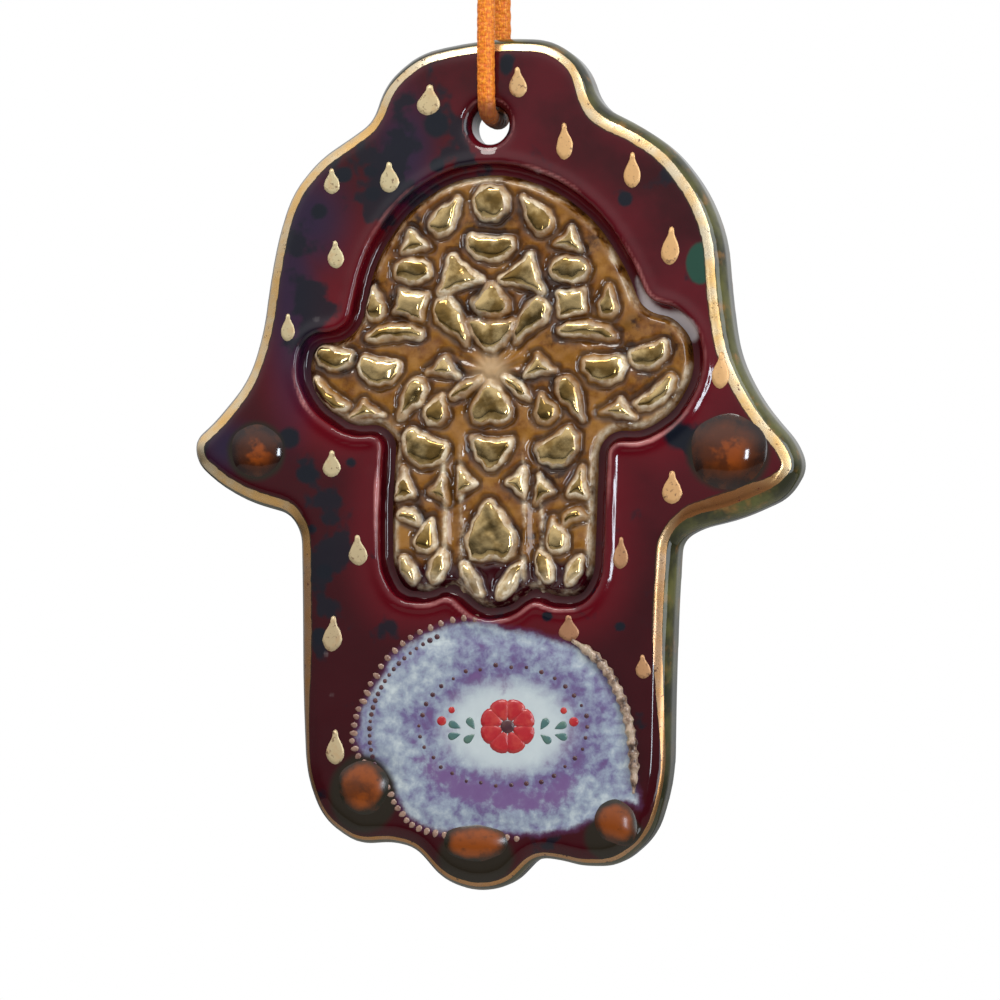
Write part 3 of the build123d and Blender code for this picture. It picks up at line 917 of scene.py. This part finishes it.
def makeSheet(name, loop, sheet, material):
    # a flat grid over a loop that faces the viewer, without the cells that lie wholly past its overhang;
    # it comes with its points, and with their places as (x, z)
    low, high = loop.min(axis=0) - sheet["margin"], loop.max(axis=0) + sheet["margin"]
    (wide, tall), cell = high - low, sheet["cell"]
    bm = bmesh.new()
    bmesh.ops.create_grid(bm, x_segments=round(wide / cell), y_segments=round(tall / cell), size=0.5)
    place = (Matrix.Translation(((low[0] + high[0]) / 2, 0, (low[1] + high[1]) / 2))
             @ Matrix.Rotation(math.radians(90), 4, "X") @ Matrix.Diagonal((wide, tall, 1, 1)))
    bmesh.ops.transform(bm, matrix=place, verts=bm.verts)
    bm.verts.ensure_lookup_table()
    bm.verts.index_update()
    keep = signedDistance(flatPoints(bm), loop) > -sheet["overhang"]
    outside = [face for face in bm.faces if not any(keep[vert.index] for vert in face.verts)]
    bmesh.ops.delete(bm, geom=outside, context="FACES")
    obj = makeObject(name, bm, material)
    co = pointsOf(obj)
    return obj, co, co[:, [0, 2]]


def closeSheet(obj, co, backY, softenings=0):
    # shapes a sheet, softens it, and closes it with walls from its rim and a flat back
    setPoints(obj, co)
    bm = bmesh.new()
    bm.from_mesh(obj.data)
    for _ in range(softenings):
        bmesh.ops.smooth_vert(bm, verts=bm.verts, factor=0.5, use_axis_y=True)
    rim = [edge for edge in bm.edges if edge.is_boundary]
    walls = bmesh.ops.extrude_edge_only(bm, edges=rim)["geom"]
    for item in walls:
        if isinstance(item, bmesh.types.BMVert):
            item.co.y = backY
    bmesh.ops.holes_fill(bm, edges=[edge for edge in bm.edges if edge.is_boundary], sides=0)
    bmesh.ops.recalc_face_normals(bm, faces=bm.faces)
    bm.to_mesh(obj.data)
    bm.free()
    obj.data.shade_smooth()


def fingerStroke(points, px, sway, width, fade):
    # one along a stroke that runs down from the grooves' top, falling off to its sides
    x, top = facePoint(px, relief["grooveTop"])
    across = points[:, 0] - x + sway * np.sin(points[:, 1] / relief["swayPitch"])
    return hill(across, width) * smoothStep(top - points[:, 1], 0, fade)


def makeRelief(material):
    handLoop = nodeLoop("relief_hand", plaque["floorY"] - 0.3 * mm)
    work = nodeMesh("relief_scrollwork")
    scrollLoops = [roundedLoop(loop) for loop in sectionLoops(work, plaque["groundY"] - 0.03 * mm)]
    work.free()
    obj, co, points = makeSheet("reliefHand", handLoop, relief, material)
    edge = signedDistance(points, handLoop) / mm
    crown = np.full(len(points), -3.0)
    bumps = np.zeros(len(points))
    for loop in scrollLoops:
        middle = loop.mean(axis=0)
        turn, size = math.radians(random.uniform(-5, 5)), random.uniform(0.97, 1.06)
        spin = np.array([[math.cos(turn), math.sin(turn)], [-math.sin(turn), math.cos(turn)]]) * size
        loop = middle + (loop - middle) @ spin
        lean = np.array([random.uniform(-1, 1), random.uniform(-1, 0.4)]) / (2.4 * mm)
        near = np.all((points > loop.min(axis=0) - 1 * mm) & (points < loop.max(axis=0) + 1 * mm), axis=1)
        strays = wobble(points[near], 1.7 * mm, 31) * relief["waver"]
        inside = (signedDistance(points[near], loop) + strays) / mm
        crown[near] = np.maximum(crown[near], inside)
        flank = np.clip((inside + relief["swell"]) / relief["shoulder"], 0, 1)
        crest = np.clip((inside + relief["swell"]) / relief["dome"], 0, 1)
        shape = 0.10 * smoothStep(inside, -0.9, 0.1) + 0.50 * np.sqrt(1 - (1 - flank) ** 2)
        shape += 0.44 * (1 - (1 - crest) ** 2)
        shape *= 1 + relief["lean"] * np.clip((points[near] - middle) @ lean, -1, 1)
        shape -= relief["dish"] * smoothStep(inside, 1.1, 2.0)
        bumps[near] = np.maximum(bumps[near], shape)
    rise = relief["ground"] * (-0.2 + 1.2 * smoothStep(edge, -0.2, 0.8))
    between = smoothStep(-crown, 0.35, 1.0) - 0.6 * smoothStep(crown, -0.7, -0.3) * (crown < 0)
    rise += relief["ribbon"] * between * smoothStep(edge, 0.2, 1.0)
    rise += relief["rise"] * bumps * smoothStep(edge, -0.1, 0.5)
    # the grooves between the fingers, and the lines beside them
    for px in relief["grooves"]:
        rise -= relief["groove"] * fingerStroke(points, px, *relief["grooveStroke"])
    lines = np.zeros(len(points))
    for px in relief["fingerLines"]:
        lines = np.maximum(lines, fingerStroke(points, px, *relief["lineStroke"]))
    rise += relief["ridge"] * lines * (1 - np.clip(bumps, 0, 1))
    for px, py, radius in relief["pips"]:
        x, z = facePoint(px, py)
        far = np.hypot(points[:, 0] - x, points[:, 1] - z) / (radius * picture["pixel"])
        rise += relief["pipRise"] * np.sqrt(np.clip(1 - far * far, 0, 1))
    # the shallow fan of ribs round the hub
    hubX, hubZ = facePoint(*relief["hub"])
    reach = np.hypot(points[:, 0] - hubX, points[:, 1] - hubZ) / mm
    turn = np.arctan2(points[:, 1] - hubZ, points[:, 0] - hubX)
    ribs = np.cos(turn * relief["ribs"]) * hill(reach - 3.4, 2.6) * (1 - np.clip(bumps, 0, 1))
    rise += ribs * relief["ribRise"]
    rise += (wobble(points, 4.5 * mm, 21) * 0.10 + wobble(points, 1.9 * mm, 22) * 0.04) * mm * smoothStep(edge, 0, 0.8)
    rise = np.minimum(rise, relief["ground"] + relief["rise"] - 0.02 * mm)
    co[:, 1] = plaque["floorY"] - rise
    closeSheet(obj, co, plaque["floorY"] + relief["sunk"], 2)
    # what the glaze reads: the walls behind have no crown
    points = pointsOf(obj)[:, [0, 2]]
    behind = np.full(len(points) - len(crown), -3.0)
    edge = signedDistance(points, handLoop) / mm
    border = 0.8 * hill(edge - 0.55, 0.35)
    border[:len(lines)] = np.maximum(border[:len(lines)], 0.9 * lines)
    reach = np.hypot(points[:, 0] - hubX, points[:, 1] - hubZ) / mm
    _, footTop = facePoint(0, relief["footTop"])
    foot = smoothStep(footTop - points[:, 1], -2 * mm, 3 * mm)
    setAttribute(obj, "crown", np.concatenate([crown, behind]))
    setAttribute(obj, "border", border)
    setAttribute(obj, "hub", hill(reach, 2.6))
    setAttribute(obj, "foot", np.maximum(foot, 0.6 * hill(edge + 0.1, 0.3)))
    rideAs(obj, "plaque", "amber_glaze", "relief_hand", "relief_scrollwork")
    print("relief", len(scrollLoops), "scrolls,", len(obj.data.polygons), "faces")


makeRelief(amberLustre())


# Medallion, its motif and its ridge

medallion = {"cell": 0.25 * mm, "margin": 0.3 * mm, "overhang": 0, "rise": 0.33 * mm, "backY": -3.7 * mm}


def makeMedallion(material):
    loop = nodeLoop("medallion_pool", plaque["wellY"] - 0.1 * mm)
    obj, co, points = makeSheet("medallionPool", loop, medallion, material)
    inside = signedDistance(points, loop) / mm
    rise = medallion["rise"] * (smoothStep(inside, -0.2, 2.4) - 0.12) + 0.02 * mm * wobble(points, 6 * mm, 5)
    co[:, 1] = plaque["faceY"] - rise
    closeSheet(obj, co, medallion["backY"])
    paintGlaze(obj, plaqueLoop, recessLoop, holeRadius)
    inland = np.full(len(obj.data.vertices), 3.0, np.float32)        # no gold line crosses the pool
    obj.data.attributes["band"].data.foreach_set("value", inland)
    rideAs(obj, "plaque", "pale_glaze", "medallion_pool")
    return obj


medallionPool = makeMedallion(plaqueGlaze)


def surfaceTree(*objects):
    whole = bmesh.new()
    for obj in objects:
        whole.from_mesh(obj.data)
    tree = BVHTree.FromBMesh(whole)
    whole.free()
    return tree


skin = surfaceTree(glazedPlaque, medallionPool)


def skinY(x, z):
    # the y of the glazed surface under (x, z), seen from the front
    hit = skin.ray_cast(Vector((x, -20 * mm, z)), Vector((0, 1, 0)))[0]
    return hit.y if hit else plaque["faceY"]


def laidPatch(bm, outline, height, rings=3):
    # a thin painted patch, a little domed, laid on the glaze; outline is a list of (x, z)
    centre = np.mean(outline, axis=0)
    loops = []
    for ring in range(rings + 1):
        share = 1 - ring / (rings + 0.6)
        loops.append([bm.verts.new((centre[0] + (x - centre[0]) * share, 0, centre[1] + (z - centre[1]) * share))
                      for x, z in outline])
    skirt = [bm.verts.new((x, 0, z)) for x, z in outline]
    for level, verts in enumerate([skirt] + loops):
        lift = (-2.0 if level == 0 else math.sin(min(level - 1, rings) / rings * math.pi / 2) * 0.75 + 0.25) * height
        for vert in verts:
            vert.co.y = skinY(vert.co.x, vert.co.z) - lift
    edges = []
    for verts in [skirt] + loops:
        edges.append([bm.edges.new((a, b)) for a, b in zip(verts, verts[1:] + verts[:1])])
    for outer, inner in zip(edges, edges[1:]):
        bmesh.ops.bridge_loops(bm, edges=outer + inner)
    bm.faces.new(loops[-1])
    bm.faces.new(list(reversed(skirt)))


def makePatches(name, bm, material, slot):
    # the laid patches as one piece on the plaque
    bmesh.ops.recalc_face_normals(bm, faces=bm.faces)
    obj = makeObject(name, bm, material)
    rideAs(obj, "plaque", slot)
    return obj


# A teardrop's half width down its length: a nib, a neck and a round belly, as shares of both
dropShares = [(0.0, 0.0), (0.03, 0.22), (0.10, 0.29), (0.18, 0.30), (0.28, 0.46), (0.42, 0.76), (0.56, 0.95),
              (0.68, 1.0), (0.80, 0.90), (0.90, 0.66), (0.97, 0.34), (1.0, 0.0)]


def teardrop(px, py, wide, tall):
    # a hand-painted teardrop, nib up, as (x, z) round its edge
    x, z = facePoint(px, py)
    lean = random.uniform(-0.12, 0.12)
    sides = []
    for side in (1, -1):
        fat = random.uniform(0.88, 1.08)
        outline = []
        for down, half in dropShares:
            out = side * half * 0.5 * fat * random.uniform(0.95, 1.05) + lean * (0.5 - down)
            outline.append((x + out * wide * picture["pixel"], z + (0.5 - down) * tall * picture["pixel"]))
        sides.append(outline)
    return sides[0] + sides[1][-2:0:-1]


# Gold teardrops as (x, y, width, height, dullness) in the photograph's pixels
goldDrops = [
    (428, 98, 25, 31, 0), (518, 82, 20, 31, 0), (564, 142, 17, 37, 0), (388, 175, 20, 31, 0),
    (330, 178, 16, 26, 0), (334, 252, 19, 28, 0), (285, 325, 15, 28, 0.1), (632, 172, 18, 36, 0),
    (670, 248, 19, 38, 0), (330, 463, 19, 27, 0.1), (357, 550, 20, 31, 0.2), (331, 634, 22, 36, 0.3),
    (719, 372, 18, 37, 0), (671, 488, 20, 33, 0.15), (620, 553, 15, 32, 0.6), (569, 628, 20, 26, 0.75),
    (334, 748, 19, 35, 0.2), (642, 666, 15, 24, 0.5),
]


def makeGoldDrops(material):
    bm = bmesh.new()
    dull = []
    for px, py, wide, tall, dim in goldDrops:
        laidPatch(bm, teardrop(px, py, wide, tall), 0.045 * mm)
        dull += [dim] * (len(bm.verts) - len(dull))
    setAttribute(makePatches("goldTeardrops", bm, material, "gold_lustre"), "dull", dull)


makeGoldDrops(goldLustre())

# The rosette, in pixels
motif = {
    "centre": (508, 726),
    "petals": 8,
    "firstPetal": 22.5,
    "petalStart": 5,
    "petal": (23, 11),          # a petal's length and half width
    "heart": 7,
    "leaves": [(33, 3, 58), (47, 2, 24), (33, 8, -38), (47, 8, -14)],     # out, down and turn
    "leaf": (13, 4.2),
    "berries": [(66, 5, 4.8, 12), (56, 16, 3.4, 10)],       # out, up, radius and corners
    "ringDots": 34,
    "ringDot": (1.7, 2.6),      # a dot's least and greatest radius
    "ringCentre": (504, 726),
    "ringReach": (84, 60),
    "rowDots": 22,
    "rowDot": (1.8, 3.0),
    "rowCentre": (497, 734),
    "rowReach": (128, 110),
    "rowTurns": (118, 78),      # the row's first turn, and how far round it goes
    "laid": 0.05 * mm,
    # a piece's enamel: its name, its colour and the colour that clouds it
    "petalEnamel": ("redEnamel", paint(158, 30, 38), paint(188, 84, 66)),
    "leafEnamel": ("leafEnamel", paint(66, 98, 96), paint(104, 124, 96)),
    "dotEnamel": ("brownEnamel", paint(62, 34, 42), paint(112, 70, 62)),
}


def pixelRound(px, py, wide, tall, turn):
    # a pixel on the oval round another, with turn in degrees from the right
    return px + wide * math.cos(math.radians(turn)), py - tall * math.sin(math.radians(turn))


def petalOutline(px, py, length, halfWidth, turn, steps=18, tip=0.8):
    # a petal or a leaf that starts at the pixel and points along turn, in degrees from the right
    outline = []
    cosine, sine = math.cos(math.radians(turn)), math.sin(math.radians(turn))
    for i in range(steps):
        share = 2 * math.pi * i / steps
        along = length * (0.5 - 0.5 * math.cos(share))
        across = halfWidth * math.sin(share) * (along / length + 0.15) ** tip * 1.15
        outline.append(facePoint(px + along * cosine - across * sine, py - along * sine - across * cosine))
    return outline


def discOutline(px, py, radius, steps=10):
    return [facePoint(*pixelRound(px, py, radius, -radius, 360 * i / steps)) for i in range(steps)]


def makeMotif():
    # a plain folk rosette with two leafy sprigs, in the pool's oval
    cx, cy = motif["centre"]
    laid = motif["laid"]
    red, leaf, dots = bmesh.new(), bmesh.new(), bmesh.new()
    for i in range(motif["petals"]):
        turn = 360 / motif["petals"] * i + motif["firstPetal"]
        place = pixelRound(cx, cy, motif["petalStart"], motif["petalStart"], turn)
        laidPatch(red, petalOutline(*place, *motif["petal"], turn), laid, 2)
    for side in (-1, 1):
        for out, down, turn in motif["leaves"]:
            angle = turn if side > 0 else 180 - turn
            laidPatch(leaf, petalOutline(cx + side * out, cy + down, *motif["leaf"], angle), 0.9 * laid, 2)
        for out, up, radius, corners in motif["berries"]:
            laidPatch(red, discOutline(cx + side * out, cy - up, radius, corners), laid, 2)
    laidPatch(dots, discOutline(cx, cy, motif["heart"], 14), 1.8 * laid, 2)
    # the dotted ring round the oval, and a looser row along the pool's upper left
    for i in range(motif["ringDots"]):
        wide, tall = (reach + random.uniform(-1.5, 1.5) for reach in motif["ringReach"])
        place = pixelRound(*motif["ringCentre"], wide, -tall, 360 / motif["ringDots"] * i)
        laidPatch(dots, discOutline(*place, random.uniform(*motif["ringDot"]), 8), laid, 1)
    first, sweep = motif["rowTurns"]
    for i in range(motif["rowDots"]):
        turn = first + sweep * (i / (motif["rowDots"] - 1))
        place = pixelRound(*motif["rowCentre"], *motif["rowReach"], turn)
        laidPatch(dots, discOutline(*place, random.uniform(*motif["rowDot"]), 8), laid, 1)
    for name, bm, tints in (("rosettePetals", red, "petalEnamel"), ("rosetteLeaves", leaf, "leafEnamel"),
                            ("dottedRing", dots, "dotEnamel")):
        makePatches(name, bm, enamel(*motif[tints]), "pale_glaze")


makeMotif()

fringe = {
    "dashes": 48,
    "length": (6, 9),
    "halfWidth": 2.9,
    "height": 0.03 * mm,
    "inward": 5,
    "start": 0.03,              # the first dash's place and the row's reach, as shares of the rim
    "reach": 0.48,
    "fan": 14,                  # how far a dash strays from square to the rim, in degrees
    "enamel": ("beigeSlip", paint(142, 114, 98), paint(104, 68, 60), 0.8),
}


def makeFringe():
    # short beige brush strokes across the pool's left and lower rim
    loop = roundedLoop(np.array(poolOutline, dtype=float))
    loop = np.roll(loop, len(loop) // 2, axis=0)        # starts at the foot and runs up the left
    bm = bmesh.new()
    for i in range(fringe["dashes"]):
        share = fringe["start"] + fringe["reach"] * (i + random.uniform(-0.3, 0.3)) / fringe["dashes"]
        place = int(share * len(loop))
        run = loop[place + 1] - loop[place]
        out = math.degrees(math.atan2(run[0], run[1])) + random.uniform(-fringe["fan"], fringe["fan"]) + 180
        length = random.uniform(*fringe["length"])
        begin = pixelRound(*loop[place], -fringe["inward"], -fringe["inward"], out)
        laidPatch(bm, petalOutline(*begin, length, fringe["halfWidth"], out, 8, 0.3), fringe["height"], 1)
    makePatches("beigeFringe", bm, enamel(*fringe["enamel"]), "slip_ridge")


makeFringe()

ridge = {
    # the trailed ridge's beads run down the medallion's right side, in the photograph's pixels
    "route": [(572, 640), (590, 651), (606, 668), (618, 690), (627, 714), (632, 742), (634, 770), (633, 792)],
    "radius": 0.56 * mm,
    "bead": 0.2,
    "beads": 15,
}


def makeRidge(material):
    route = []
    for px, py in ridge["route"]:
        x, z = facePoint(px, py)
        route.append((x, skinY(x, z) - 0.12 * mm, z))
    bm, _ = tube("ridge", route, ridge["radius"], 24)
    rings = ringsOf(bm)
    for i, (ring, centre) in enumerate(rings):
        share = i / (len(rings) - 1)
        taper = min(1.0, 8 * share + 0.25, 8 * (1 - share) + 0.25)
        bead = ridge["bead"] * math.sin(2 * math.pi * ridge["beads"] * share)
        swell = (1 + bead + random.uniform(-0.05, 0.05)) * taper
        for vert in ring:
            vert.co = centre + (vert.co - centre) * swell
    rideAs(makeObject("slipRidge", bm, material), "plaque", "slip_ridge", "medallion_ridge")


makeRidge(slipRidge())

# Melted glass pools: each CAD node, and how much of it is the thumbs' dim glass
glassPools = {
    "glaze_drop_left_thumb": 0.85,
    "glaze_drop_left_finger": 0.0,
    "glaze_drop_middle_finger": 0.0,
    "glaze_drop_right_finger": 0.1,
    "glaze_drop_right_thumb": 0.75,
}


def makeGlass(node, dim, material):
    loop = nodeLoop(node, plaque["wellY"] - 0.2 * mm)
    low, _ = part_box(node)
    rimY = plaque["faceY"] + 0.06 * mm
    top = plaque["faceY"] - low.y + 0.04 * mm
    bm = bmesh.new()
    bmesh.ops.create_uvsphere(bm, u_segments=48, v_segments=24, radius=1.0)
    bmesh.ops.rotate(bm, verts=bm.verts, cent=(0, 0, 0), matrix=Matrix.Rotation(math.radians(90), 3, "X"))
    centre = loop.mean(axis=0)
    angles = np.arctan2(loop[:, 1] - centre[1], loop[:, 0] - centre[0])
    order = np.argsort(angles)
    reaches = np.hypot(loop[order, 0] - centre[0], loop[order, 1] - centre[1])
    hearts = []
    for vert in bm.verts:
        out = math.hypot(vert.co.x, vert.co.z)
        turn = math.atan2(vert.co.z, vert.co.x)
        reach = float(np.interp(turn, angles[order], reaches, period=2 * math.pi))
        reach *= out * (1 + 0.02 * math.sin(3 * turn + dim) + 0.015 * math.sin(5 * turn + 1))
        if vert.co.y < 0:        # a low lens that runs out into the glaze
            hearts.append(1 - out)
            y = rimY - top * (1 - out ** 2.2)
        else:
            hearts.append(0.0)
            y = rimY + 0.3 * mm * vert.co.y
        vert.co = (centre[0] + math.cos(turn) * reach, y, centre[1] + math.sin(turn) * reach)
    obj = makeObject("glass" + "".join(word.capitalize() for word in node.split("_")[2:]), bm, material)
    setAttribute(obj, "heart", hearts)
    setAttribute(obj, "dim", np.full(len(hearts), dim))
    rideAs(obj, "plaque", "amber_glass", node)


glass = amberGlass()
for node, dim in glassPools.items():
    makeGlass(node, dim, glass)
print("painted pieces laid")


# Studio

studio = {
    "white": (1, 1, 1, 1),
    "worldStrength": 0.45,
    "mirrored": (0.05, 1.0),    # the room that the glaze and the gold mirror, from its foot to its white ceiling
    "mirroredFrom": (-0.35, 0.55),
    "worldColour": (0.97, 0.98, 1.0, 1),
    "floorZ": -0.45,
    "floorReach": 0.9,
    "floorWhite": 0.6,          # the white that the camera alone sees, at the floor's middle
    "aim": (0, 0, -0.07),       # where the lamps point
}
lamps = [
    # name, place, size x, size y, watts, colour, whether the glaze mirrors it
    ("window", (0.34, -0.20, -0.02), 0.20, 0.42, 1.3, (0.88, 0.94, 1.0), True),
    ("overhead", (-0.05, -0.26, 0.40), 0.34, 0.13, 1.7, (1.0, 0.97, 0.92), True),
    ("glint", (0.16, -0.44, -0.10), 0.03, 0.10, 0.30, (0.80, 0.90, 1.0), True),
    ("leftFill", (-0.42, -0.30, 0.02), 0.24, 0.40, 0.8, (1.0, 0.98, 0.95), False),
]


def ray(kind):
    return put("ShaderNodeLightPath", output=kind)


def paleFloor():
    # near white to the camera, with the object's shadow left in its middle
    material = setShader(newMaterial("floor"), colour=paint(206, 204, 200), roughness=0.8)
    nodes = material.node_tree.nodes
    glow = put("ShaderNodeEmission", {"Color": studio["white"], "Strength": 1.0})
    far = put("ShaderNodeVectorMath", {0: objectPlace((1, 1, 0))}, "Value", operation="LENGTH")
    white = step(far, 0.15, 0.8 * studio["floorReach"], studio["floorWhite"], 1.0)
    plain = Value(nodes["Principled BSDF"].outputs[0])
    seen = put("ShaderNodeMixShader", {0: ray("Is Camera Ray") * white, 1: plain, 2: glow})
    fill(nodes["Material Output"].inputs["Surface"], seen)
    return material


def makeStudio():
    floor = bmesh.new()
    bmesh.ops.create_grid(floor, x_segments=1, y_segments=1, size=studio["floorReach"])
    bmesh.ops.translate(floor, verts=floor.verts, vec=(0, 0, studio["floorZ"]))
    makeObject("floor", floor, paleFloor(), False)
    world = bpy.data.worlds.new("studio")
    bpy.context.scene.world = world
    world.use_nodes = True
    shading["tree"] = world.node_tree
    upward = part(put("ShaderNodeTexCoord", output="Generated"), 2)
    room = step(upward, *studio["mirroredFrom"], *studio["mirrored"])
    power = put("ShaderNodeMapRange", {"Value": ray("Is Glossy Ray"), "To Min": studio["worldStrength"],
                                       "To Max": room})
    dim = put("ShaderNodeBackground", {"Color": studio["worldColour"], "Strength": power})
    white = put("ShaderNodeBackground", {"Color": studio["white"], "Strength": 1.0})
    seen = sums("MAXIMUM", ray("Is Camera Ray"), ray("Is Transmission Ray"))
    fill(world.node_tree.nodes["World Output"].inputs["Surface"],
         put("ShaderNodeMixShader", {0: seen, 1: dim, 2: white}))
    for name, place, wide, tall, watts, colour, mirrored in lamps:
        data = bpy.data.lights.new(name, "AREA")
        data.shape = "RECTANGLE"
        data.size, data.size_y, data.energy, data.color = wide, tall, watts, colour
        obj = bpy.data.objects.new(name, data)
        obj.location = place
        obj.visible_glossy = mirrored
        obj.rotation_euler = (Vector(studio["aim"]) - Vector(place)).to_track_quat("-Z", "Y").to_euler()
        bpy.context.scene.collection.objects.link(obj)
    bpy.context.scene.view_settings.view_transform = "Standard"


makeStudio()
